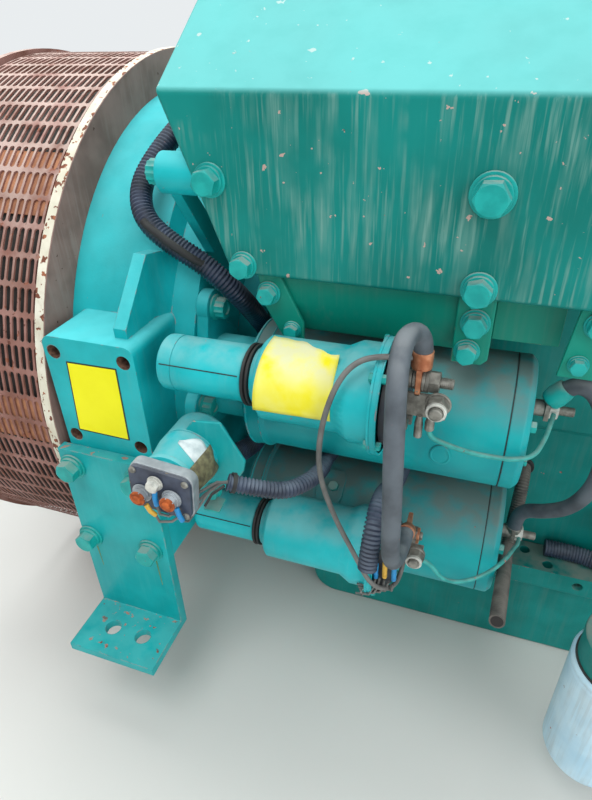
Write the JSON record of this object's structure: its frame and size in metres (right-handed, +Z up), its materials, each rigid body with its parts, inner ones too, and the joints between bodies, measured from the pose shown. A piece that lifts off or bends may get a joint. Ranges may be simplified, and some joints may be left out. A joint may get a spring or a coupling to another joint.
{
  "type": "diesel generator coupling end with twin starter motors",
  "caption": "Coupling end of a diesel generator: vented round guard, flywheel housing on side feet, stacked starter motors, side box, block section and oil pan.",
  "frame": {"origin": "on the crank axis in the alternator-side face of the guard's end ring", "axes": "+X along the crank from the alternator side into the engine, +Y away from the starters, +Z up"},
  "size_m": [1.032, 0.99, 0.918],
  "materials": {
    "teal_paint": "gloss",
    "ring_paint": "rusty",
    "guard_paint": "rusty",
    "dark_iron": "matte",
    "black_rubber": "matte",
    "black_plastic": "matte",
    "zinc_steel": "satin",
    "cable_rubber": "matte",
    "loom_plastic": "matte",
    "wire_sheath": "matte",
    "canister_paint": "gloss"
  },
  "bodies": {
    "root": {"box_rail": "teal_paint", "cable_grommets": "black_rubber", "coupling_ring": "ring_paint", "drive_disc": "dark_iron", "engine_block": "teal_paint", "fan": "dark_iron", "filter_canister": "canister_paint", "filter_head": "teal_paint", "flywheel_housing": "teal_paint", "foot_bracket_far": "teal_paint", "foot_bracket_near": "teal_paint", "ground_cable": "cable_rubber", "ground_studs": "zinc_steel", "guard_end_ring": "guard_paint", "guard_screen": "guard_paint", "jumper_cable": "cable_rubber", "lower_boot_ring": "black_rubber", "lower_drive_housing": "teal_paint", "lower_end_cap": "teal_paint", "lower_motor": "teal_paint", "lower_plunger_cap": "teal_paint", "lower_sense_wire": "wire_sheath", "lower_solenoid": "teal_paint", "lower_terminal_cap": "black_plastic", "main_loom": "loom_plastic", "oil_pan": "teal_paint", "pan_rail": "teal_paint", "rail_loom": "loom_plastic", "rail_strips": "teal_paint", "relay_body": "teal_paint", "relay_bracket": "teal_paint", "relay_cap": "black_plastic", "relay_loom": "loom_plastic", "side_boss": "teal_paint", "side_box": "teal_paint", "signal_wire": "wire_sheath", "starter_terminals": "zinc_steel", "stub_hose": "loom_plastic", "terminal_conduit": "loom_plastic", "upper_boot_ring": "black_rubber", "upper_drive_housing": "teal_paint", "upper_end_cap": "teal_paint", "upper_motor": "teal_paint", "upper_plunger_cap": "teal_paint", "upper_sense_wire": "wire_sheath", "upper_solenoid": "teal_paint", "upper_terminal_cap": "black_plastic"}
  },
  "joints": []
}
